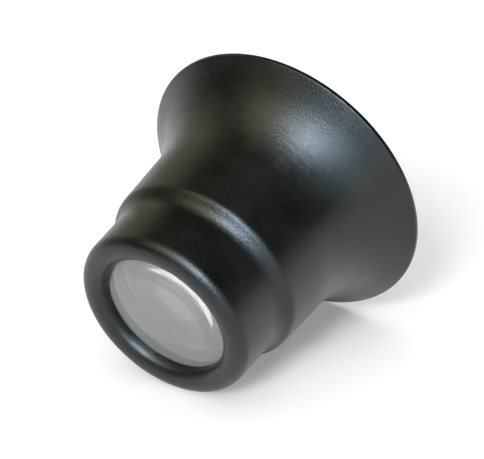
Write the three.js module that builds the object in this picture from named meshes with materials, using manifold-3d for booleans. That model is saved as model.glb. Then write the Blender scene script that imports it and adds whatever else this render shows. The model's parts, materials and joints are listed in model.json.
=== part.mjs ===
// A watchmaker's eye loupe: a moulded horn that is held in the eye socket, with two lenses in its
// narrow end, kept there by a spacer between them and a screwed retaining ring behind them.
//
// Units are millimetres and +Z is up. The loupe lies on its side, on the edge of its eye rim and the
// round of its lip, with the lens end towards -Y and dipping a little towards the surface.
//
// Each piece is turned about the optical axis. "Along" is the distance along that axis from the plane
// of the eye rim towards the lip, and "radius" is the distance from the axis.
import * as THREE from 'three';
import { mergeVertices } from 'three/addons/utils/BufferGeometryUtils.js';
import Module from 'manifold-3d';

const wasm = await Module();
wasm.setup();

// Lenses
const LENS_RADIUS = 10;
const LENS_EDGE_THICKNESS = 1.0;
const LENS_CURVE_RADIUS = 20.5;
const LENS_BEVEL = 0.2;
const APEX_GAP = 0.6;

// Clearances
const LENS_CLEARANCE = 0.08;
const THREAD_CLEARANCE = 0.08;
const SEATING_GAP = 0.05;

// Spacer and retaining ring
const SPACER_WIDTH = 1.1;
const RING_THICKNESS = 2.2;
const RING_WIDTH = 1.92;
const RING_CHAMFER = 0.3;
const SPANNER_SLOT_WIDTH = 1.6;
const SPANNER_SLOT_DEPTH = 0.9;

// Horn, inside
const THREAD_STEP = 0.52;
const THREAD_LEAD_IN = 0.4;
const THREAD_RUN_OUT = 0.3;
const SEAT_WIDTH = 1.7;
const LIP_THICKNESS = 1.8;
const LIP_INNER_ROUND = 1.5;
const HORN_WALL = 1.3;
const RIM_INNER_ROUND = 0.3;

// Horn, outside
const OVERALL_LENGTH = 28.6;
const RIM_RADIUS = 19;
const RIM_EDGE_DEPTH = 0.65;
const RIM_EDGE_ROUND = 0.3;
const FLARE_DEPTH = 5.8;
const FLARE_ROUND = 13.3;
const BARREL_TAPER = 0.67;
const SHOULDER_STEP = 1.13;
const SHOULDER_DEPTH = 1.35;
const SHOULDER_ROUND = 1.4;
const NECK_LENGTH = 9.35;
const NECK_WALL = 1.48;
const NECK_TAPER = 0.14;
const NECK_ROUND = 2.8;
const LIP_OUTER_ROUND = 1.65;

// Fineness of the round surfaces
const SIDES = 36;
const ARC_STEP = THREE.MathUtils.degToRad(14);
const LENS_ARC_STEPS = 9;
// The most of a straight stretch that the fillet at one of its ends may take up
const FILLET_SHARE = 0.9;

// Radii that follow from the lenses, from the bore outwards
const BORE_RADIUS = LENS_RADIUS + LENS_CLEARANCE;
const APERTURE_RADIUS = LENS_RADIUS - SEAT_WIDTH;
const SPACER_HOLE_RADIUS = LENS_RADIUS - SPACER_WIDTH;
const THREAD_RADIUS = BORE_RADIUS + THREAD_STEP;
const RING_RADIUS = THREAD_RADIUS - THREAD_CLEARANCE;
const RING_HOLE_RADIUS = RING_RADIUS - RING_WIDTH;
const NECK_RADIUS_FRONT = BORE_RADIUS + NECK_WALL;
const NECK_RADIUS_REAR = NECK_RADIUS_FRONT + NECK_TAPER;
const SHOULDER_RADIUS = NECK_RADIUS_REAR + SHOULDER_STEP;
const FLARE_RADIUS = SHOULDER_RADIUS + BARREL_TAPER;

// Where each piece starts and ends along the axis, worked out from the lip backwards
const SHOULDER_ALONG = OVERALL_LENGTH - NECK_LENGTH;
const SEAT_ALONG = OVERALL_LENGTH - LIP_THICKNESS;
const LENS_SAG = sagAt(LENS_RADIUS);
const FRONT_LENS_FACE = SEAT_ALONG - SEATING_GAP;
const FRONT_LENS_APEX = FRONT_LENS_FACE - LENS_EDGE_THICKNESS - LENS_SAG;
const REAR_LENS_APEX = FRONT_LENS_APEX - APEX_GAP;
const REAR_LENS_FACE = REAR_LENS_APEX - LENS_SAG - LENS_EDGE_THICKNESS;
const SPACER_FRONT = FRONT_LENS_APEX + sagAt(SPACER_HOLE_RADIUS) - SEATING_GAP;
const SPACER_REAR = REAR_LENS_APEX - sagAt(SPACER_HOLE_RADIUS) + SEATING_GAP;
const RING_FRONT = REAR_LENS_FACE - SEATING_GAP;
const RING_REAR = RING_FRONT - RING_THICKNESS;

/** How far a lens's curved face has fallen back from its apex at this radius. */
function sagAt(radius) {
  return LENS_CURVE_RADIUS - Math.sqrt(LENS_CURVE_RADIUS ** 2 - radius ** 2);
}

/** A corner of an outline: its place along the axis, its radius from it, and the radius of its fillet. */
function corner(along, radius, fillet = 0) {
  const point = new THREE.Vector2(radius, along);
  point.fillet = fillet;
  return point;
}

/** The point where the line through a and b meets the line through c and d. */
function crossing(a, b, c, d) {
  const ab = b.clone().sub(a);
  const cd = d.clone().sub(c);
  const share = c.clone().sub(a).cross(cd) / ab.cross(cd);
  return a.clone().addScaledVector(ab, share);
}

/** The line from a to b, moved sideways by a distance towards the axis. */
function movedInwards(a, b, distance) {
  const across = b.clone().sub(a).normalize().rotateAround(new THREE.Vector2(), Math.PI / 2);
  return [a.clone().addScaledVector(across, distance), b.clone().addScaledVector(across, distance)];
}

/** Points along an arc that rounds the corner at `point` between its two neighbours. */
function roundedCorner(before, point, after) {
  const toBefore = before.clone().sub(point).normalize();
  const toAfter = after.clone().sub(point).normalize();
  const halfAngle = toBefore.angleTo(toAfter) / 2;
  const middle = toBefore.clone().add(toAfter).normalize();
  const room = FILLET_SHARE * Math.min(point.distanceTo(before), point.distanceTo(after));
  const fillet = Math.min(point.fillet, room * Math.tan(halfAngle));
  const centre = point.clone().addScaledVector(middle, fillet / Math.sin(halfAngle));
  const first = point.clone().addScaledVector(toBefore, fillet / Math.tan(halfAngle));
  const sweep = Math.PI - 2 * halfAngle;
  const turn = Math.sign(toAfter.cross(toBefore)) * sweep;
  const steps = Math.max(1, Math.ceil(sweep / ARC_STEP));
  return Array.from({ length: steps + 1 }, (_, i) => first.clone().rotateAround(centre, (turn * i) / steps));
}

/** The solid turned from a row of corners, which goes round once and has an arc at each rounded one. */
function turned(corners) {
  const outline = corners.flatMap((point, i) => {
    if (!point.fillet) return [point];
    return roundedCorner(corners.at(i - 1), point, corners[(i + 1) % corners.length]);
  });
  return new THREE.LatheGeometry([...outline, outline[0]], SIDES, Math.PI / SIDES);
}

/** The outside of the horn from the eye rim to the lip, in order along the axis. */
function hornOutside() {
  return [
    corner(0, RIM_RADIUS, RIM_EDGE_ROUND),
    corner(RIM_EDGE_DEPTH, RIM_RADIUS, RIM_EDGE_ROUND),
    corner(FLARE_DEPTH, FLARE_RADIUS, FLARE_ROUND),
    corner(SHOULDER_ALONG, SHOULDER_RADIUS, SHOULDER_ROUND),
    corner(SHOULDER_ALONG + SHOULDER_DEPTH, NECK_RADIUS_REAR, NECK_ROUND),
    corner(OVERALL_LENGTH, NECK_RADIUS_FRONT, LIP_OUTER_ROUND),
  ];
}

/** The inside of the eyecup: the outside of the flare and barrel, moved in by the wall. */
function eyecupInside(outside) {
  const [, rimFront, flare, shoulder] = outside;
  const flareWall = movedInwards(rimFront, flare, HORN_WALL);
  const barrelWall = movedInwards(flare, shoulder, HORN_WALL);
  const rimPlane = [corner(0, 0), corner(0, RIM_RADIUS)];
  const stepPlane = [corner(RING_REAR, 0), corner(RING_REAR, RIM_RADIUS)];
  const rimInner = crossing(...rimPlane, ...flareWall);
  const flareInner = crossing(...flareWall, ...barrelWall);
  const barrelEnd = crossing(...barrelWall, ...stepPlane);
  rimInner.fillet = RIM_INNER_ROUND;
  flareInner.fillet = FLARE_ROUND + HORN_WALL;
  return [rimInner, flareInner, barrelEnd];
}

/** The lens bore from the thread's lead-in to the front of the lip, in order along the axis. */
function lensBore() {
  return [
    corner(RING_REAR, THREAD_RADIUS + THREAD_LEAD_IN),
    corner(RING_REAR + THREAD_LEAD_IN, THREAD_RADIUS),
    corner(RING_FRONT + THREAD_RUN_OUT, THREAD_RADIUS),
    corner(RING_FRONT + THREAD_RUN_OUT, BORE_RADIUS),
    corner(SEAT_ALONG, BORE_RADIUS),
    corner(SEAT_ALONG, APERTURE_RADIUS),
    corner(OVERALL_LENGTH, APERTURE_RADIUS, LIP_INNER_ROUND),
  ];
}

function hornShell() {
  const outside = hornOutside();
  const inside = [...eyecupInside(outside), ...lensBore()];
  return turned([...outside, ...inside.reverse()]);
}

/** A lens with one flat face and one curved face; `towards` is +1 when the curve faces the lip. */
function planoConvexLens(flatFace, towards) {
  const edge = LENS_EDGE_THICKNESS * towards;
  const bevel = LENS_BEVEL * towards;
  const apex = flatFace + edge + LENS_SAG * towards;
  const curved = Array.from({ length: LENS_ARC_STEPS }, (_, i) => {
    const radius = ((LENS_RADIUS - LENS_BEVEL) * i) / (LENS_ARC_STEPS - 1);
    return corner(apex - sagAt(radius) * towards, radius);
  });
  const outline = [
    corner(flatFace, 0),
    corner(flatFace, LENS_RADIUS - LENS_BEVEL),
    corner(flatFace + bevel, LENS_RADIUS),
    corner(flatFace + edge - bevel, LENS_RADIUS),
    ...curved.reverse(),
  ];
  if (towards < 0) outline.reverse();
  return new THREE.LatheGeometry(outline, SIDES, Math.PI / SIDES);
}

function lensSpacer() {
  return turned([
    corner(SPACER_REAR, SPACER_HOLE_RADIUS),
    corner(SPACER_REAR, LENS_RADIUS),
    corner(SPACER_FRONT, LENS_RADIUS),
    corner(SPACER_FRONT, SPACER_HOLE_RADIUS),
  ]);
}

/** The geometry as a manifold-3d solid. */
function solidFrom(geometry) {
  geometry.deleteAttribute('normal');
  geometry.deleteAttribute('uv');
  const merged = mergeVertices(geometry);
  return new wasm.Manifold(new wasm.Mesh({
    numProp: 3,
    vertProperties: merged.attributes.position.array,
    triVerts: new Uint32Array(merged.index.array),
  }));
}

/** The geometry of a manifold-3d solid. */
function geometryFrom(solid) {
  const mesh = solid.getMesh();
  const geometry = new THREE.BufferGeometry();
  geometry.setAttribute('position', new THREE.BufferAttribute(mesh.vertProperties, 3));
  geometry.setIndex(new THREE.BufferAttribute(mesh.triVerts, 1));
  geometry.computeVertexNormals();
  return geometry;
}

/** The retaining ring, with a spanner slot across its rear face on each side of the hole. */
function retainingRing() {
  const ring = turned([
    corner(RING_REAR, RING_HOLE_RADIUS),
    corner(RING_REAR, RING_RADIUS - RING_CHAMFER),
    corner(RING_REAR + RING_CHAMFER, RING_RADIUS),
    corner(RING_FRONT - RING_CHAMFER, RING_RADIUS),
    corner(RING_FRONT, RING_RADIUS - RING_CHAMFER),
    corner(RING_FRONT, RING_HOLE_RADIUS),
  ]);
  const cutter = new THREE.BoxGeometry(3 * RING_RADIUS, 2 * SPANNER_SLOT_DEPTH, SPANNER_SLOT_WIDTH);
  cutter.translate(0, RING_REAR, 0);
  return geometryFrom(solidFrom(ring).subtract(solidFrom(cutter)));
}

function matteBlackPlastic() {
  return new THREE.MeshStandardMaterial({ color: 0x2b2c28, roughness: 0.45, metalness: 0 });
}

function plainBlackPlastic() {
  return new THREE.MeshStandardMaterial({ color: 0x1c1c1c, roughness: 0.6, metalness: 0 });
}

function opticalGlass() {
  return new THREE.MeshStandardMaterial({
    color: 0xd5dbd8, roughness: 0.02, metalness: 0, transparent: true, opacity: 0.35,
  });
}

function piece(name, geometry, material) {
  const mesh = new THREE.Mesh(geometry, material);
  mesh.name = name;
  return mesh;
}

/** How far the lens end dips when the loupe lies on its rim edge and on the round of its lip. */
function restingTilt() {
  const flareSlope = Math.atan2(RIM_RADIUS - FLARE_RADIUS, FLARE_DEPTH - RIM_EDGE_DEPTH);
  const rimAlong = RIM_EDGE_DEPTH - RIM_EDGE_ROUND * Math.tan(flareSlope / 2);
  const lipAlong = OVERALL_LENGTH - LIP_OUTER_ROUND;
  const forward = lipAlong - rimAlong;
  const inward = RIM_RADIUS - RIM_EDGE_ROUND - (NECK_RADIUS_FRONT - LIP_OUTER_ROUND);
  const apart = Math.hypot(forward, inward);
  return Math.acos((LIP_OUTER_ROUND - RIM_EDGE_ROUND) / apart) - Math.atan2(forward, inward);
}

// The pieces stand along their own +Y, and turning them half a turn and the tilt lays them down.
const turnedPieces = new THREE.Group();
turnedPieces.add(
  piece('horn_shell', hornShell(), matteBlackPlastic()),
  piece('front_lens', planoConvexLens(FRONT_LENS_FACE, -1), opticalGlass()),
  piece('lens_spacer', lensSpacer(), plainBlackPlastic()),
  piece('rear_lens', planoConvexLens(REAR_LENS_FACE, 1), opticalGlass()),
  piece('retaining_ring', retainingRing(), plainBlackPlastic()),
);
turnedPieces.rotation.x = Math.PI + restingTilt();

// The origin is under the middle of the loupe, on the surface that it lies on.
const loupe = new THREE.Group();
loupe.add(turnedPieces);
const extent = new THREE.Box3().setFromObject(loupe, true);
const middle = extent.getCenter(new THREE.Vector3());
turnedPieces.position.set(-middle.x, -middle.y, -extent.min.z);

export default loupe;
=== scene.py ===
"""Looks of a watchmaker's eye loupe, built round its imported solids.

The loupe is a moulded black horn that is held in the eye socket. Two lenses stand in its narrow end,
apart from each other on a spacer, and a ring with a screw thread keeps them there.

Every piece is turned about the optical axis. "Along" is the distance along that axis from the plane of
the eye rim towards the lip, "radius" is the distance from the axis, and "angle" goes round it. Sizes in
dataclass fields are in millimetres; everything that reaches the scene is in metres.
"""

import json
import logging
import math
from dataclasses import dataclass
from enum import Enum

import bmesh
import bpy
import numpy as np
from mathutils import Matrix, Vector


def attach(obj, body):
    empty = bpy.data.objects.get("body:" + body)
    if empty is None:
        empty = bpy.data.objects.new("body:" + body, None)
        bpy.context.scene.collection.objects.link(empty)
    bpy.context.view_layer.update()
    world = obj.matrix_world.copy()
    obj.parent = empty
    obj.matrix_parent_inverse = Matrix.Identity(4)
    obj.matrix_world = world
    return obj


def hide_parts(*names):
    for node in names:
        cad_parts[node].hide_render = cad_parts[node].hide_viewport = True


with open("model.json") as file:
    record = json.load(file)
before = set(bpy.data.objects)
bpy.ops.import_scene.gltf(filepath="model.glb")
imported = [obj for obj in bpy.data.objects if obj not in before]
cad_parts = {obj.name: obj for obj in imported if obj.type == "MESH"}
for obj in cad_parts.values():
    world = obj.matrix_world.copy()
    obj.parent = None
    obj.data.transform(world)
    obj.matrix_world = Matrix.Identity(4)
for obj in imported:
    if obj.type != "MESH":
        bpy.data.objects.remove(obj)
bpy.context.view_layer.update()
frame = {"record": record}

log = logging.getLogger("eye_loupe")
MM = 0.001
SAME_RADIUS = 1e-6


class Body(Enum):
    """The rigid bodies that the pieces ride on."""

    HORN = "horn"
    LENS_PACK = "lens_pack"
    RING = "ring"


class Slot(Enum):
    """The record's material slots."""

    HORN_PLASTIC = "horn_plastic"
    LENS_GLASS = "lens_glass"
    FITTING_PLASTIC = "fitting_plastic"


class LensFace(Enum):
    """The kinds of surface on a lens, numbered as its materials are."""

    POLISHED = 0
    GROUND = 1
    DUSTY = 2


# ---------------------------------------------------------------------------------------------------
# Outlines and surfaces
# ---------------------------------------------------------------------------------------------------


@dataclass(frozen=True)
class OpticalAxis:
    """The line that every piece is turned about, and the directions square to it."""

    rim_centre: np.ndarray
    lipward: np.ndarray
    across: np.ndarray
    upright: np.ndarray

    @classmethod
    def from_record(cls, record: dict) -> "OpticalAxis":
        """Finds the axis from the ring's hinge and the rim plane from the mount on it.

        Args:
            record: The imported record.

        Returns:
            The axis in the row frame, in metres.
        """
        hinge = next(j for j in record["behaviour"]["joints"] if j["name"] == "ring_turn")
        rim = next(m for m in record["mounts"] if m["name"] == "eye_rim")
        eyeward = np.array(hinge["axis"], float)
        eyeward /= np.linalg.norm(eyeward)
        on_axis = np.array(hinge["pos_m"], float)
        centre = on_axis + eyeward * ((np.array(rim["pos_m"], float) - on_axis) @ eyeward)
        across = np.array([1.0, 0.0, 0.0])
        return cls(centre, -eyeward, across, np.cross(-eyeward, across))

    def place(self, along: np.ndarray, radius: np.ndarray, angle: np.ndarray) -> np.ndarray:
        """Turns cylindrical coordinates in millimetres into points in the row frame.

        A point is the rim centre, plus along times the axis, plus radius times the direction that lies
        at the angle between across and upright.

        Args:
            along: Distances along the axis.
            radius: Distances from the axis.
            angle: Angles about the axis, in radians.

        Returns:
            The points, in metres, with the three coordinates on the last axis.
        """
        along, radius, angle = np.broadcast_arrays(along, radius, angle)
        spoke = np.cos(angle)[..., None] * self.across + np.sin(angle)[..., None] * self.upright
        return self.rim_centre + MM * (along[..., None] * self.lipward + radius[..., None] * spoke)


@dataclass(frozen=True)
class Corner:
    """A corner of an outline, and the radius of the arc that rounds it."""

    along: float
    radius: float
    fillet: float = 0.0

    def point(self) -> np.ndarray:
        """The corner as (along, radius)."""
        return np.array([self.along, self.radius])


@dataclass(frozen=True)
class Outline:
    """A closed row of corners that goes round a piece's section, with the solid on its right."""

    corners: tuple[Corner, ...]
    arc_step: float = math.radians(6)
    longest: float = 0.45

    def arc(self, before: Corner, corner: Corner, after: Corner) -> np.ndarray:
        """The points that stand for one corner: an arc touching both neighbouring lines.

        The arc's centre lies on the corner's middle line at fillet / sin(half the corner's angle), and
        the arc starts and ends fillet / tan(half the angle) away from the corner.

        Args:
            before: The corner before it.
            corner: The corner to round.
            after: The corner after it.

        Returns:
            Rows of (along, radius), one row if the corner is sharp.
        """
        tip = corner.point()
        if not corner.fillet:
            return tip[None]
        back = before.point() - tip
        ahead = after.point() - tip
        back /= np.linalg.norm(back)
        ahead /= np.linalg.norm(ahead)
        half = math.acos(float(np.clip(back @ ahead, -1, 1))) / 2
        middle = (back + ahead) / np.linalg.norm(back + ahead)
        centre = tip + middle * corner.fillet / math.sin(half)
        first = tip + back * corner.fillet / math.tan(half) - centre
        last = tip + ahead * corner.fillet / math.tan(half) - centre
        sweep = math.atan2(first[0] * last[1] - first[1] * last[0], float(first @ last))
        steps = max(2, math.ceil(abs(sweep) / self.arc_step))
        turn = sweep * np.linspace(0, 1, steps + 1)
        cos, sin = np.cos(turn)[:, None], np.sin(turn)[:, None]
        return centre + cos * first + sin * np.array([-first[1], first[0]])

    def points(self) -> np.ndarray:
        """All the outline's points, with long straight stretches cut into short ones.

        Returns:
            Rows of (along, radius); the last row joins on to the first.
        """
        n = len(self.corners)
        arcs = [
            self.arc(self.corners[i - 1], self.corners[i], self.corners[(i + 1) % n])
            for i in range(n)
        ]
        rough = np.vstack(arcs)
        ends = np.roll(rough, -1, axis=0)
        pieces = np.ceil(np.linalg.norm(ends - rough, axis=1) / self.longest).clip(1).astype(int)
        start = np.repeat(np.arange(len(rough)), pieces)
        share = (np.arange(pieces.sum()) - np.repeat(np.cumsum(pieces) - pieces, pieces)) / pieces[start]
        return rough[start] + share[:, None] * (ends - rough)[start]


@dataclass(frozen=True)
class Thread:
    """A right-hand screw thread of truncated V section, shown by rows a small step apart."""

    pitch: float = 0.75
    depth: float = 0.4
    crest_share: float = 1 / 8
    root_share: float = 1 / 4
    fade: float = 0.3
    row_step: float = 0.045

    def groove(self, along: np.ndarray, angle: np.ndarray, start: float, end: float) -> np.ndarray:
        """How far the thread's groove is cut at each place.

        The share of a turn at a place is (along - pitch * angle / full turn) / pitch. The depth rises
        evenly from nothing to its whole along each flank, is level on crests and roots, and fades
        evenly to nothing at both ends of the threaded stretch.

        Args:
            along: Distances along the axis.
            angle: Angles about the axis, in radians.
            start: Where the threaded stretch starts.
            end: Where the threaded stretch ends.

        Returns:
            The depths in millimetres.
        """
        share = (along / self.pitch - angle / (2 * np.pi)) % 1
        from_root = np.abs(2 * share - 1)
        rise = (1 - self.crest_share - from_root) / (1 - self.crest_share - self.root_share)
        ends = np.minimum(along - start, end - along) / self.fade
        return self.depth * rise.clip(0, 1) * ends.clip(0, 1)


def grid_faces(rows: int, columns: int, first: int = 0) -> np.ndarray:
    """Quads between neighbouring rows of a grid whose columns close round the axis.

    Args:
        rows: How many rows the grid has.
        columns: How many columns it has.
        first: The number of its first vertex.

    Returns:
        Rows of four vertex numbers, for rows - 1 bands.
    """
    corner = first + np.arange(rows * columns).reshape(rows, columns)
    right = np.roll(corner, -1, axis=1)
    quads = [corner[:-1], corner[1:], right[1:], right[:-1]]
    return np.stack(quads, axis=-1).reshape(-1, 4)


def add_piece(name: str, points: np.ndarray, faces: list, body: Body, sharp: float = 32) -> bpy.types.Object:
    """Makes a mesh object in the row frame that rides on a body.

    Args:
        name: The piece's name.
        points: Its vertices, in metres.
        faces: Its faces, as rows of vertex numbers.
        body: The body it rides on.
        sharp: Edges that turn by more degrees than this look sharp.

    Returns:
        The new object.
    """
    mesh = bpy.data.meshes.new(name)
    mesh.from_pydata(points.reshape(-1, 3).tolist(), [], faces)
    mesh.shade_smooth()
    mesh.set_sharp_from_angle(angle=math.radians(sharp))
    piece = bpy.data.objects.new(name, mesh)
    bpy.context.scene.collection.objects.link(piece)
    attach(piece, body.value)
    log.info("%s: %d vertices, %d faces", name, len(mesh.vertices), len(mesh.polygons))
    return piece


def join_coincident(piece: bpy.types.Object, within: float = 1e-6) -> None:
    """Joins a piece's vertices that lie in the same place, and drops the faces that this empties.

    Args:
        piece: The piece.
        within: How close together, in metres, counts as the same place.
    """
    sculpt = bmesh.new()
    sculpt.from_mesh(piece.data)
    bmesh.ops.remove_doubles(sculpt, verts=sculpt.verts, dist=within)
    sculpt.to_mesh(piece.data)
    sculpt.free()


def ring_faces(rows: int, columns: int) -> list:
    """Faces of a grid that closes both round the axis and round the section.

    Args:
        rows: Points in the section.
        columns: Steps round the axis.

    Returns:
        Lists of four vertex numbers.
    """
    corner = np.arange(rows * columns).reshape(rows, columns)
    below = np.roll(corner, -1, axis=0)
    quads = [corner, np.roll(corner, -1, axis=1), np.roll(below, -1, axis=1), below]
    return np.stack(quads, axis=-1).reshape(-1, 4).tolist()


# ---------------------------------------------------------------------------------------------------
# Finishes
# ---------------------------------------------------------------------------------------------------


class Nodes:
    """A node tree with short ways to add and join nodes."""

    def __init__(self, tree: bpy.types.NodeTree) -> None:
        """Keeps the tree."""
        self.tree = tree

    def add(self, kind: str, **settings: object) -> bpy.types.Node:
        """Adds a node and sets its properties.

        Args:
            kind: The node's type.
            **settings: The properties to set on it, by name.

        Returns:
            The new node.
        """
        node = self.tree.nodes.new(kind)
        for name, value in settings.items():
            setattr(node, name, value)
        return node

    def join(self, source: bpy.types.NodeSocket, target: bpy.types.NodeSocket) -> None:
        """Links an output to an input."""
        self.tree.links.new(source, target)

    def noise(self, vector: bpy.types.NodeSocket, scale: float, detail: float = 2) -> bpy.types.Node:
        """Adds a noise texture.

        Args:
            vector: Where the noise is read.
            scale: How many of its cells a unit of the vector holds.
            detail: How many finer layers are added to it.

        Returns:
            The texture's node.
        """
        node = self.add("ShaderNodeTexNoise")
        node.inputs["Scale"].default_value = scale
        node.inputs["Detail"].default_value = detail
        self.join(vector, node.inputs["Vector"])
        return node

    def spread(self, value: bpy.types.NodeSocket, low: float, high: float,
               to_low: float = 0.0, to_high: float = 1.0) -> bpy.types.NodeSocket:
        """Maps a value evenly from one range to another and keeps it inside the second.

        Args:
            value: The value to map.
            low: The value that becomes to_low.
            high: The value that becomes to_high.
            to_low: The start of the new range.
            to_high: The end of the new range.

        Returns:
            The mapped value's socket.
        """
        node = self.add("ShaderNodeMapRange")
        for name, number in zip(("From Min", "From Max", "To Min", "To Max"),
                                (low, high, to_low, to_high)):
            node.inputs[name].default_value = number
        self.join(value, node.inputs["Value"])
        return node.outputs["Result"]

    def mix(self, share: bpy.types.NodeSocket, first: tuple, second: tuple) -> bpy.types.NodeSocket:
        """Blends two colours.

        Args:
            share: How much of the second colour there is, from 0 to 1.
            first: The colour at 0.
            second: The colour at 1.

        Returns:
            The blended colour's socket.
        """
        node = self.add("ShaderNodeMix", data_type="RGBA")
        node.inputs["A"].default_value = (*first, 1)
        node.inputs["B"].default_value = (*second, 1)
        self.join(share, node.inputs["Factor"])
        return node.outputs["Result"]


class GrainGroup:
    """The fine leathery grain of a spark-eroded mould, as a node group that finishes share.

    Size is the grain's size in metres. Height is the relief, from 0 to 1. Cloud is a slow unevenness
    in the surface's gloss and colour, from 0 to 1.
    """

    name = "moulded_grain"
    fine_scale = 2.1
    fine_weight = 0.5
    cloud_scale = 0.035
    height_range = (0.45, 1.05)
    cloud_range = (0.35, 0.65)

    @classmethod
    def get(cls) -> bpy.types.NodeTree:
        """The group, which is built the first time that it is asked for."""
        return bpy.data.node_groups.get(cls.name) or cls.build()

    @classmethod
    def build(cls) -> bpy.types.NodeTree:
        """Builds the group.

        The position is divided by the grain's size. Height is a noise plus a finer one at a lower
        weight, and Cloud is a much coarser noise. Each is stretched from its usual range to 0 to 1.

        Returns:
            The node group.
        """
        tree = bpy.data.node_groups.new(cls.name, "ShaderNodeTree")
        face = tree.interface
        face.new_socket("Position", in_out="INPUT", socket_type="NodeSocketVector")
        face.new_socket("Size", in_out="INPUT", socket_type="NodeSocketFloat")
        face.new_socket("Height", in_out="OUTPUT", socket_type="NodeSocketFloat")
        face.new_socket("Cloud", in_out="OUTPUT", socket_type="NodeSocketFloat")
        nodes = Nodes(tree)
        start = nodes.add("NodeGroupInput")
        end = nodes.add("NodeGroupOutput")
        inverse = nodes.add("ShaderNodeMath", operation="DIVIDE")
        inverse.inputs[0].default_value = 1.0
        nodes.join(start.outputs["Size"], inverse.inputs[1])
        scaled = nodes.add("ShaderNodeVectorMath", operation="SCALE")
        nodes.join(start.outputs["Position"], scaled.inputs[0])
        nodes.join(inverse.outputs[0], scaled.inputs["Scale"])
        coarse = nodes.noise(scaled.outputs[0], 1.0, 1)
        fine = nodes.noise(scaled.outputs[0], cls.fine_scale, 1)
        both = nodes.add("ShaderNodeMath", operation="MULTIPLY_ADD")
        both.inputs[1].default_value = cls.fine_weight
        nodes.join(fine.outputs["Fac"], both.inputs[0])
        nodes.join(coarse.outputs["Fac"], both.inputs[2])
        nodes.join(nodes.spread(both.outputs[0], *cls.height_range), end.inputs["Height"])
        cloud = nodes.noise(scaled.outputs[0], cls.cloud_scale, 3)
        nodes.join(nodes.spread(cloud.outputs["Fac"], *cls.cloud_range), end.inputs["Cloud"])
        return tree


@dataclass(frozen=True)
class GrainedFinish:
    """A surface with a fine moulded or ground grain, a little uneven in gloss and colour.

    Shine is the lowest and the highest roughness. The grain's size and relief are in millimetres.
    """

    name: str
    dark: tuple[float, float, float]
    light: tuple[float, float, float]
    shine: tuple[float, float]
    grain_size: float
    relief: float
    strength: float
    index: float = 1.5

    def material(self) -> bpy.types.Material:
        """Builds the material.

        Returns:
            A new material.
        """
        made = bpy.data.materials.new(self.name)
        made.use_nodes = True
        nodes = Nodes(made.node_tree)
        shader = made.node_tree.nodes["Principled BSDF"]
        place = nodes.add("ShaderNodeTexCoord")
        grain = nodes.add("ShaderNodeGroup", node_tree=GrainGroup.get())
        grain.inputs["Size"].default_value = self.grain_size * MM
        nodes.join(place.outputs["Object"], grain.inputs["Position"])
        nodes.join(nodes.mix(grain.outputs["Cloud"], self.dark, self.light), shader.inputs["Base Color"])
        gloss = nodes.spread(grain.outputs["Cloud"], 0, 1, *self.shine)
        nodes.join(gloss, shader.inputs["Roughness"])
        bump = nodes.add("ShaderNodeBump")
        bump.inputs["Strength"].default_value = self.strength
        bump.inputs["Distance"].default_value = self.relief * MM
        nodes.join(grain.outputs["Height"], bump.inputs["Height"])
        nodes.join(bump.outputs["Normal"], shader.inputs["Normal"])
        shader.inputs["IOR"].default_value = self.index
        return made


@dataclass(frozen=True)
class LensGlass:
    """Polished glass, as hazy with dust and handling as its clearness leaves room for.

    Its tint varies slowly down to a slightly darker shade of itself.
    """

    name: str
    clear: float
    tint: tuple[float, float, float] = (0.93, 0.96, 0.95)
    roughness: float = 0.01
    index: float = 1.52
    shade: float = 0.96
    cloud_scale: float = 160.0
    cloud_range: tuple[float, float] = (0.3, 0.7)

    def material(self) -> bpy.types.Material:
        """Builds the material.

        Returns:
            A new material.
        """
        made = bpy.data.materials.new(self.name)
        made.use_nodes = True
        nodes = Nodes(made.node_tree)
        shader = made.node_tree.nodes["Principled BSDF"]
        place = nodes.add("ShaderNodeTexCoord")
        cloud = nodes.noise(place.outputs["Object"], self.cloud_scale, 3)
        share = nodes.spread(cloud.outputs["Fac"], *self.cloud_range)
        darker = tuple(self.shade * channel for channel in self.tint)
        nodes.join(nodes.mix(share, self.tint, darker), shader.inputs["Base Color"])
        shader.inputs["Transmission Weight"].default_value = self.clear
        shader.inputs["Roughness"].default_value = self.roughness
        shader.inputs["IOR"].default_value = self.index
        return made


# ---------------------------------------------------------------------------------------------------
# Pieces
# ---------------------------------------------------------------------------------------------------


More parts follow.
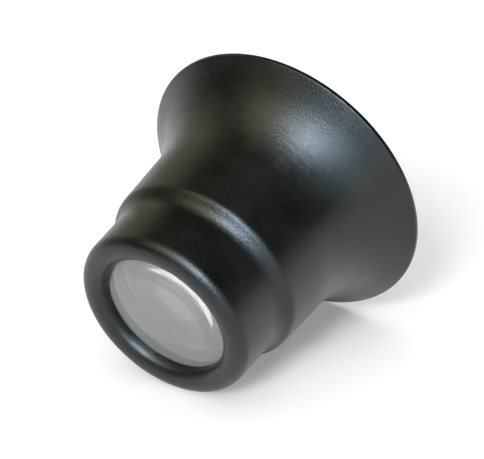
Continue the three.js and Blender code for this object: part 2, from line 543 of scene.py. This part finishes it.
@dataclass(frozen=True)
class LensPair:
    """Two plano-convex lenses that face each other with their curved sides."""

    axis: OpticalAxis
    seat_along: float
    radius: float = 10.0
    edge: float = 1.0
    curve_radius: float = 20.5
    bevel: float = 0.2
    apex_gap: float = 0.6
    seating_gap: float = 0.05
    edge_rows: int = 3
    columns: int = 144
    rows: int = 40
    row_power: float = 0.8
    sharp: float = 20.0

    @property
    def sag(self) -> float:
        """How far a curved face falls back from its apex at the edge."""
        return self.sag_at(self.radius)

    @property
    def front_face(self) -> float:
        """Where the front lens's flat face is along the axis."""
        return self.seat_along - self.seating_gap

    @property
    def front_apex(self) -> float:
        """Where the front lens's apex is along the axis."""
        return self.front_face - self.edge - self.sag

    @property
    def rear_apex(self) -> float:
        """Where the rear lens's apex is along the axis."""
        return self.front_apex - self.apex_gap

    @property
    def rear_face(self) -> float:
        """Where the rear lens's flat face is along the axis."""
        return self.rear_apex - self.sag - self.edge

    def sag_at(self, radius: np.ndarray | float) -> np.ndarray | float:
        """The curve's fall at a radius: R - sqrt(R^2 - radius^2).

        Args:
            radius: Distance from the axis.

        Returns:
            The fall, of the same shape.
        """
        return self.curve_radius - np.sqrt(self.curve_radius**2 - np.square(radius))

    def section(self, flat_face: float, towards: int) -> tuple[np.ndarray, np.ndarray, int]:
        """A lens's section from the middle of its flat face to the apex of its curved one.

        On both faces a row's radius is its share of the rows to a power under 1, times the face's
        radius, so the rows stand closer together near the edge.

        Args:
            flat_face: Where the flat face is along the axis.
            towards: 1 if the curved face looks towards the lip, -1 if it looks towards the eye.

        Returns:
            The places along the axis, the radii, and the number of rows on the flat face.
        """
        inner = self.radius - self.bevel
        fine = np.linspace(0, 1, self.rows) ** self.row_power
        flat_radius = inner * fine[1:]
        edge_along = np.linspace(self.bevel, self.edge - self.bevel, self.edge_rows)
        curve_radius = (inner * fine[1:])[::-1]
        apex = self.edge + self.sag
        depth = np.concatenate([np.zeros(len(flat_radius)), edge_along, apex - self.sag_at(curve_radius)])
        radius = np.concatenate([flat_radius, np.full(self.edge_rows, self.radius), curve_radius])
        return flat_face + towards * depth, radius, len(flat_radius)

    def lens(self, name: str, node: str, flat_face: float, towards: int,
             flat: LensFace) -> bpy.types.Object:
        """Builds one lens: a polar grid from the flat face's middle round the edge to the apex.

        Args:
            name: The piece's name.
            node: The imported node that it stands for.
            flat_face: Where its flat face is along the axis.
            towards: 1 if the curved face looks towards the lip, -1 if it looks towards the eye.
            flat: What the flat face's surface is like.

        Returns:
            The lens.
        """
        along, radius, flat_rows = self.section(flat_face, towards)
        angle = 2 * np.pi * np.arange(self.columns) / self.columns * -towards
        shell = self.axis.place(along[:, None], radius[:, None], angle[None]).reshape(-1, 3)
        apex = flat_face + towards * (self.edge + self.sag)
        poles = self.axis.place(np.array([flat_face, apex]), np.zeros(2), np.zeros(2))
        turn = np.arange(self.columns)
        ahead = np.roll(turn, -1)
        pole = np.full(self.columns, len(shell))
        last = len(shell) - self.columns
        quads = grid_faces(len(along), self.columns).tolist()
        flat_fan = np.stack([pole, turn, ahead], axis=1).tolist()
        apex_fan = np.stack([pole + 1, last + ahead, last + turn], axis=1).tolist()
        points = np.vstack([shell, poles])
        piece = add_piece(name, points, quads + flat_fan + apex_fan, Body.LENS_PACK, self.sharp)
        bands = np.full(len(along) - 1, LensFace.POLISHED.value)
        bands[:flat_rows - 1] = flat.value
        bands[flat_rows - 1:flat_rows + self.edge_rows] = LensFace.GROUND.value
        surfaces = np.append(bands, [flat.value, LensFace.POLISHED.value]).repeat(self.columns)
        piece.data.polygons.foreach_set("material_index", surfaces)
        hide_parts(node)
        return piece

    def build(self, finishes: dict[LensFace, bpy.types.Material]) -> list[bpy.types.Object]:
        """Builds and dresses both lenses.

        Args:
            finishes: The material of each kind of surface.

        Returns:
            The front lens and the rear lens.
        """
        made = [
            self.lens("front_lens_glass", "front_lens", self.front_face, -1, LensFace.DUSTY),
            self.lens("rear_lens_glass", "rear_lens", self.rear_face, 1, LensFace.POLISHED),
        ]
        for piece in made:
            for face in LensFace:
                piece.data.materials.append(finishes[face])
        return made


@dataclass(frozen=True)
class LensSpacer:
    """The short tube that keeps the lenses apart."""

    lenses: LensPair
    width: float = 1.1
    round_edge: float = 0.12
    arc_step: float = math.radians(18)
    columns: int = 144

    def build(self, finish: bpy.types.Material) -> bpy.types.Object:
        """Builds and dresses the tube: its section carried round the axis.

        Args:
            finish: Its material.

        Returns:
            The spacer.
        """
        pair = self.lenses
        hole = pair.radius - self.width
        front = pair.front_apex + pair.sag_at(hole) - pair.seating_gap
        rear = pair.rear_apex - pair.sag_at(hole) + pair.seating_gap
        section = Outline((
            Corner(rear, hole, self.round_edge),
            Corner(rear, pair.radius, self.round_edge),
            Corner(front, pair.radius, self.round_edge),
            Corner(front, hole, self.round_edge),
        ), self.arc_step).points()
        angle = 2 * np.pi * np.arange(self.columns) / self.columns
        points = pair.axis.place(section[:, :1], section[:, 1:], angle[None])
        piece = add_piece("spacer_tube", points, ring_faces(len(section), self.columns), Body.LENS_PACK)
        piece.data.materials.append(finish)
        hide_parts("lens_spacer")
        return piece


@dataclass(frozen=True)
class RetainingRing:
    """The screwed ring behind the rear lens, with a slot on each side for a spanner."""

    lenses: LensPair
    thread: Thread
    body_radius: float = 10.52
    thickness: float = 2.2
    width: float = 1.92
    chamfer: float = 0.3
    slot_width: float = 1.6
    slot_depth: float = 0.9
    thread_fade: float = 0.8
    land_columns: int = 84
    slot_columns: int = 10
    hole_rows: int = 6
    face_rows: int = 6

    @property
    def front(self) -> float:
        """Where its front face is along the axis."""
        return self.lenses.rear_face - self.lenses.seating_gap

    @property
    def rear(self) -> float:
        """Where its rear face is along the axis."""
        return self.front - self.thickness

    def columns(self, radius: np.ndarray) -> tuple[np.ndarray, np.ndarray, np.ndarray]:
        """Where the grid's columns stand, so that the slots' walls run straight and parallel.

        At a radius, a slot's wall stands at asin(half the slot's width / radius) from its middle. The
        columns are spread evenly between those angles, and two stand at each wall.

        Args:
            radius: The rows' radii, as a column.

        Returns:
            The angles by row and column; by column 1 inside a slot and 0 outside; and how much of the
            thread stands there, which rises evenly from nothing at a slot's wall.
        """
        wall = np.arcsin(self.slot_width / 2 / radius)
        inside = np.linspace(-1, 1, self.slot_columns + 1)[None]
        outside = np.linspace(0, 1, self.land_columns + 1)[None]
        slot = wall * inside
        land = wall + (np.pi - 2 * wall) * outside
        angle = np.hstack([slot, land, slot + np.pi, land + np.pi])
        cut = np.concatenate([np.ones(inside.size), np.zeros(outside.size)] * 2)
        from_wall = np.minimum(outside[0], 1 - outside[0]) * math.pi * self.body_radius
        standing = (from_wall / self.thread_fade).clip(0, 1)
        return angle, cut, np.concatenate([np.zeros(inside.size), standing] * 2)

    def build(self, finish: bpy.types.Material) -> bpy.types.Object:
        """Builds and dresses the ring.

        Its section is a closed loop of rows: the hole from front to rear, the rear face, the threaded
        side and the front face. In a slot the rear ends of the rows are moved forward by its depth.

        Args:
            finish: Its material.

        Returns:
            The ring.
        """
        hole = self.body_radius - self.width
        face = hole + (self.width - self.chamfer) * np.linspace(0, 1, self.face_rows + 2)[1:-1]
        side_length = self.thickness - 2 * self.chamfer
        side = np.linspace(0, 1, round(side_length / self.thread.row_step))
        to_rear = np.linspace(0, 1, self.hole_rows)
        before_side = self.hole_rows + self.face_rows
        radius = np.concatenate([
            np.full(self.hole_rows, hole), face, np.full(side.size, self.body_radius), face[::-1],
        ])[:, None]
        share = np.concatenate([
            to_rear, np.ones(self.face_rows), 1 - side, np.zeros(self.face_rows),
        ])[:, None]
        on_side = np.concatenate([
            np.zeros(before_side), np.ones(side.size), np.zeros(self.face_rows),
        ])[:, None]
        angle, cut, standing = self.columns(radius)
        rear = self.rear + self.slot_depth * cut[None]
        whole = self.front + share * (rear - self.front)
        low = self.rear + self.chamfer + (self.slot_depth - self.chamfer) * cut[None]
        high = self.front - self.chamfer
        along = np.where(on_side > 0, high + share * (low - high), whole)
        groove = self.thread.groove(along, angle, self.rear + self.chamfer, high)
        points = self.lenses.axis.place(along, radius + on_side * standing * groove, angle)
        faces = ring_faces(len(radius), angle.shape[1])
        piece = add_piece("threaded_ring", points, faces, Body.RING)
        join_coincident(piece)
        piece.data.materials.append(finish)
        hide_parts("retaining_ring")
        return piece


@dataclass(frozen=True)
class Horn:
    """The moulded horn: eye rim, flare, barrel, shoulder, neck and dished lip, and the lens bore."""

    axis: OpticalAxis
    thread: Thread
    length: float = 28.6
    rim_radius: float = 19.0
    rim_edge_depth: float = 0.65
    rim_edge_round: float = 0.3
    flare_depth: float = 5.8
    flare_radius: float = 13.5
    flare_round: float = 13.3
    shoulder_along: float = 19.25
    shoulder_radius: float = 12.83
    shoulder_round: float = 1.4
    shoulder_depth: float = 1.35
    neck_rear_radius: float = 11.7
    neck_front_radius: float = 11.56
    neck_round: float = 2.8
    lip_round: float = 1.65
    lip_inner_round: float = 1.5
    lip_thickness: float = 1.8
    aperture_radius: float = 8.3
    bore_radius: float = 10.08
    thread_radius: float = 10.6
    thread_lead_in: float = 0.4
    thread_run_out: float = 0.3
    wall: float = 1.3
    rim_inner_round: float = 0.3
    arc_step: float = math.radians(4.5)
    columns: int = 224

    @property
    def seat_along(self) -> float:
        """Where the seat for the front lens is along the axis."""
        return self.length - self.lip_thickness

    def outside(self) -> tuple[Corner, ...]:
        """The outside's corners, from the eye rim to the lip."""
        return (
            Corner(0, self.rim_radius, self.rim_edge_round),
            Corner(self.rim_edge_depth, self.rim_radius, self.rim_edge_round),
            Corner(self.flare_depth, self.flare_radius, self.flare_round),
            Corner(self.shoulder_along, self.shoulder_radius, self.shoulder_round),
            Corner(self.shoulder_along + self.shoulder_depth, self.neck_rear_radius, self.neck_round),
            Corner(self.length, self.neck_front_radius, self.lip_round),
        )

    def inset(self, first: Corner, second: Corner) -> tuple[np.ndarray, np.ndarray]:
        """The line between two corners, moved in by the wall's thickness.

        Args:
            first: The corner nearer the eye rim.
            second: The corner nearer the lip.

        Returns:
            A point on the moved line, and its direction.
        """
        run = second.point() - first.point()
        run /= np.linalg.norm(run)
        return first.point() + self.wall * np.array([run[1], -run[0]]), run

    def eyecup(self, ring_rear: float) -> tuple[Corner, ...]:
        """The eyecup's inside corners, from the step round the lens bore to the eye rim.

        The flare's and the barrel's lines are moved in by the wall, and meet each other, the rim plane
        and the plane of the step.

        Args:
            ring_rear: Where the retaining ring's rear face is along the axis.

        Returns:
            Three corners.
        """
        _, rim_front, flare, shoulder, *_ = self.outside()
        start, steep = self.inset(rim_front, flare)
        other, gentle = self.inset(flare, shoulder)
        share = np.linalg.solve(np.stack([steep, -gentle], axis=1), other - start)
        rim = start - steep * start[0] / steep[0]
        bend = start + steep * share[0]
        end = other + gentle * (ring_rear - other[0]) / gentle[0]
        return (
            Corner(end[0], end[1]),
            Corner(bend[0], bend[1], self.flare_round + self.wall),
            Corner(rim[0], rim[1], self.rim_inner_round),
        )

    def bore(self, ring: RetainingRing) -> tuple[Corner, ...]:
        """The lens bore's corners, from the front of the lip back to the thread's mouth.

        Args:
            ring: The retaining ring, which the thread is cut for.

        Returns:
            Seven corners.
        """
        thread_end = ring.front + self.thread_run_out
        return (
            Corner(self.length, self.aperture_radius, self.lip_inner_round),
            Corner(self.seat_along, self.aperture_radius),
            Corner(self.seat_along, self.bore_radius),
            Corner(thread_end, self.bore_radius),
            Corner(thread_end, self.thread_radius),
            Corner(ring.rear + self.thread_lead_in, self.thread_radius),
            Corner(ring.rear, self.thread_radius + self.thread_lead_in),
        )

    def section(self, ring: RetainingRing) -> tuple[np.ndarray, np.ndarray]:
        """The horn's whole section, with fine rows along the thread.

        Args:
            ring: The retaining ring, which the thread is cut for.

        Returns:
            Rows of (along, radius), and by row 1 on the thread and 0 elsewhere.
        """
        corners = (*self.outside(), *self.bore(ring), *self.eyecup(ring.rear))
        whole = Outline(corners, self.arc_step).points()
        mouth = ring.rear + self.thread_lead_in
        end = ring.front + self.thread_run_out
        at_radius = np.abs(whole[:, 1] - self.thread_radius) < SAME_RADIUS
        first, last = np.flatnonzero(at_radius & (whole[:, 0] <= end))[[0, -1]]
        fine = np.linspace(end, mouth, round((end - mouth) / self.thread.row_step))
        threaded = np.stack([fine, np.full(fine.size, self.thread_radius)], axis=1)
        rows = np.vstack([whole[:first], threaded, whole[last + 1:]])
        on_thread = np.zeros(len(rows))
        on_thread[first:first + fine.size] = 1
        return rows, on_thread

    def build(self, ring: RetainingRing, finish: bpy.types.Material) -> bpy.types.Object:
        """Builds and dresses the horn: its section carried round the axis, with the thread cut in it.

        Args:
            ring: The retaining ring, which the thread is cut for.
            finish: Its material.

        Returns:
            The horn.
        """
        section, on_thread = self.section(ring)
        end = ring.front + self.thread_run_out
        angle = 2 * np.pi * np.arange(self.columns) / self.columns
        along, radius = section[:, :1], section[:, 1:]
        groove = self.thread.groove(along, angle[None], ring.rear, end) * on_thread[:, None]
        points = self.axis.place(along, radius + groove, angle[None])
        piece = add_piece("horn_body", points, ring_faces(len(section), self.columns), Body.HORN)
        piece.data.materials.append(finish)
        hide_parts("horn_shell")
        return piece


# ---------------------------------------------------------------------------------------------------
# Studio
# ---------------------------------------------------------------------------------------------------


def direction(azimuth: float, elevation: float) -> Vector:
    """The direction towards a place round the object.

    Args:
        azimuth: Degrees round from -Y towards +X.
        elevation: Degrees above the horizon.

    Returns:
        A unit vector that points away from the object.
    """
    a, e = math.radians(azimuth), math.radians(elevation)
    return Vector((math.sin(a) * math.cos(e), -math.cos(a) * math.cos(e), math.sin(e)))


class Use(Enum):
    """What a lamp is for: it makes glints on glossy surfaces, or it fills matt ones with light."""

    GLINTS = "glints"
    FILL = "fill"


@dataclass(frozen=True)
class SoftSun:
    """A far round light whose size is the angle that it fills."""

    name: str
    azimuth: float
    elevation: float
    strength: float
    spread: float
    colour: tuple[float, float, float] = (1.0, 1.0, 1.0)
    use: Use = Use.GLINTS

    def build(self) -> None:
        """Adds the light."""
        light = bpy.data.lights.new(self.name, "SUN")
        light.energy = self.strength
        light.angle = math.radians(self.spread)
        light.color = self.colour
        lamp = bpy.data.objects.new(self.name, light)
        bpy.context.scene.collection.objects.link(lamp)
        lamp.visible_glossy = self.use is Use.GLINTS
        lamp.visible_transmission = self.use is Use.GLINTS
        lamp.visible_diffuse = self.use is Use.FILL
        lamp.rotation_mode = "QUATERNION"
        lamp.rotation_quaternion = direction(self.azimuth, self.elevation).to_track_quat("Z", "Y")


@dataclass(frozen=True)
class Studio:
    """A pale floor that glows a little like a light table, a dim room with a pale backdrop, and lamps."""

    floor_half: float = 3.0
    floor_colour: tuple[float, float, float] = (0.87, 0.87, 0.87)
    floor_glow: float = 0.26
    floor_roughness: float = 0.9
    floor_specular: float = 0.1
    fibre_scale: float = 900.0
    fibre_shade: float = 0.985
    room: tuple[float, float, float] = (0.02, 0.02, 0.018)
    backdrop: tuple[float, float, float] = (1.0, 1.0, 1.0)

    def floor(self) -> bpy.types.Object:
        """Adds the floor.

        Returns:
            The floor.
        """
        h = self.floor_half
        mesh = bpy.data.meshes.new("studio_floor")
        mesh.from_pydata([(-h, -h, 0), (h, -h, 0), (h, h, 0), (-h, h, 0)], [], [(0, 1, 2, 3)])
        floor = bpy.data.objects.new("studio_floor", mesh)
        bpy.context.scene.collection.objects.link(floor)
        paper = bpy.data.materials.new("white_paper")
        paper.use_nodes = True
        nodes = Nodes(paper.node_tree)
        shader = paper.node_tree.nodes["Principled BSDF"]
        place = nodes.add("ShaderNodeTexCoord")
        fibre = nodes.noise(place.outputs["Object"], self.fibre_scale, 3)
        darker = tuple(self.fibre_shade * channel for channel in self.floor_colour)
        nodes.join(nodes.mix(fibre.outputs["Fac"], darker, self.floor_colour), shader.inputs["Base Color"])
        shader.inputs["Roughness"].default_value = self.floor_roughness
        shader.inputs["Specular IOR Level"].default_value = self.floor_specular
        shader.inputs["Emission Color"].default_value = (1, 1, 1, 1)
        shader.inputs["Emission Strength"].default_value = self.floor_glow
        mesh.materials.append(paper)
        return floor

    def sky(self) -> None:
        """Makes the world the backdrop's colour to the camera and the dim room's to everything else."""
        world = bpy.data.worlds.new("studio_room")
        bpy.context.scene.world = world
        world.use_nodes = True
        nodes = Nodes(world.node_tree)
        path = nodes.add("ShaderNodeLightPath")
        seen = nodes.mix(path.outputs["Is Camera Ray"], self.room, self.backdrop)
        nodes.join(seen, world.node_tree.nodes["Background"].inputs["Color"])

    def build(self, lamps: list[SoftSun]) -> None:
        """Builds the floor, the sky and the lamps, and shows colours as they are.

        Args:
            lamps: The lamps.
        """
        self.floor()
        self.sky()
        for lamp in lamps:
            lamp.build()
        bpy.context.scene.view_settings.view_transform = "Standard"


@dataclass(frozen=True)
class ViewingCamera:
    """The camera, level and placed from the middle of the eye rim; its clip distances are in metres."""

    azimuth: float = 33.5
    elevation: float = 26.0
    distance: float = 256.0
    aim_left: float = 5.455
    aim_below: float = 6.207
    lens: float = 151.5
    nearest: float = 0.01
    farthest: float = 20.0

    def build(self, axis: OpticalAxis) -> None:
        """Adds the camera and makes it the scene's.

        Args:
            axis: The optical axis, whose rim centre the camera is placed from.
        """
        back = direction(self.azimuth, self.elevation)
        right = Vector((0, 0, 1)).cross(back).normalized()
        up = back.cross(right)
        offset = MM * (back * self.distance - right * self.aim_left - up * self.aim_below)
        data = bpy.data.cameras.new("viewing_camera")
        data.lens = self.lens
        data.clip_start, data.clip_end = self.nearest, self.farthest
        camera = bpy.data.objects.new("viewing_camera", data)
        bpy.context.scene.collection.objects.link(camera)
        place = Matrix((right, up, back)).transposed().to_4x4()
        place.translation = Vector(axis.rim_centre) + offset
        camera.matrix_world = place
        bpy.context.scene.camera = camera


def main() -> None:
    """Builds the loupe, the studio and the camera."""
    logging.basicConfig(level=logging.INFO, format="%(name)s %(message)s")
    axis = OpticalAxis.from_record(frame["record"])
    thread = Thread()
    horn = Horn(axis, thread)
    lenses = LensPair(axis, horn.seat_along)
    ring = RetainingRing(lenses, thread)
    satin = GrainedFinish("satin_black_plastic", (0.004, 0.004, 0.0032), (0.007, 0.007, 0.0055),
                          (0.27, 0.34), 0.16, 0.02, 1.0)
    matt = GrainedFinish("matt_black_plastic", (0.012, 0.012, 0.012), (0.018, 0.018, 0.018),
                         (0.5, 0.6), 0.12, 0.01, 0.5)
    ground = GrainedFinish("ground_glass_edge", (0.45, 0.47, 0.46), (0.6, 0.62, 0.61),
                           (0.55, 0.65), 0.08, 0.01, 0.6)
    horn.build(ring, satin.material())
    lenses.build({
        LensFace.POLISHED: LensGlass("polished_glass", 1.0).material(),
        LensFace.GROUND: ground.material(),
        LensFace.DUSTY: LensGlass("dusty_glass", 0.86).material(),
    })
    LensSpacer(lenses).build(matt.material())
    ring.build(matt.material())
    Studio().build([
        SoftSun("key_lamp_low", 37, 30, 2.0, 17, (0.6, 0.8, 1.02)),
        SoftSun("key_lamp_high", 39, 48, 2.5, 16, (0.84, 1.0, 1.15)),
        SoftSun("cool_side_lamp", 55, 20, 0.95, 50, (0.55, 0.93, 1.05)),
        SoftSun("warm_top_lamp", 350, 58, 1.0, 44, (1.0, 0.95, 0.62)),
        SoftSun("rim_lamp", 250, 22, 0.25, 40, (1.0, 0.95, 0.7)),
        SoftSun("drop_shadow_lamp", 15, 34, 1.8, 14, use=Use.FILL),
        SoftSun("overhead_lamp", 345, 80, 1.75, 80, use=Use.FILL),
        SoftSun("lens_fill_lamp", 355, 4, 3.5, 30, use=Use.FILL),
    ])
    ViewingCamera().build(axis)


if __name__ == "__main__":
    main()
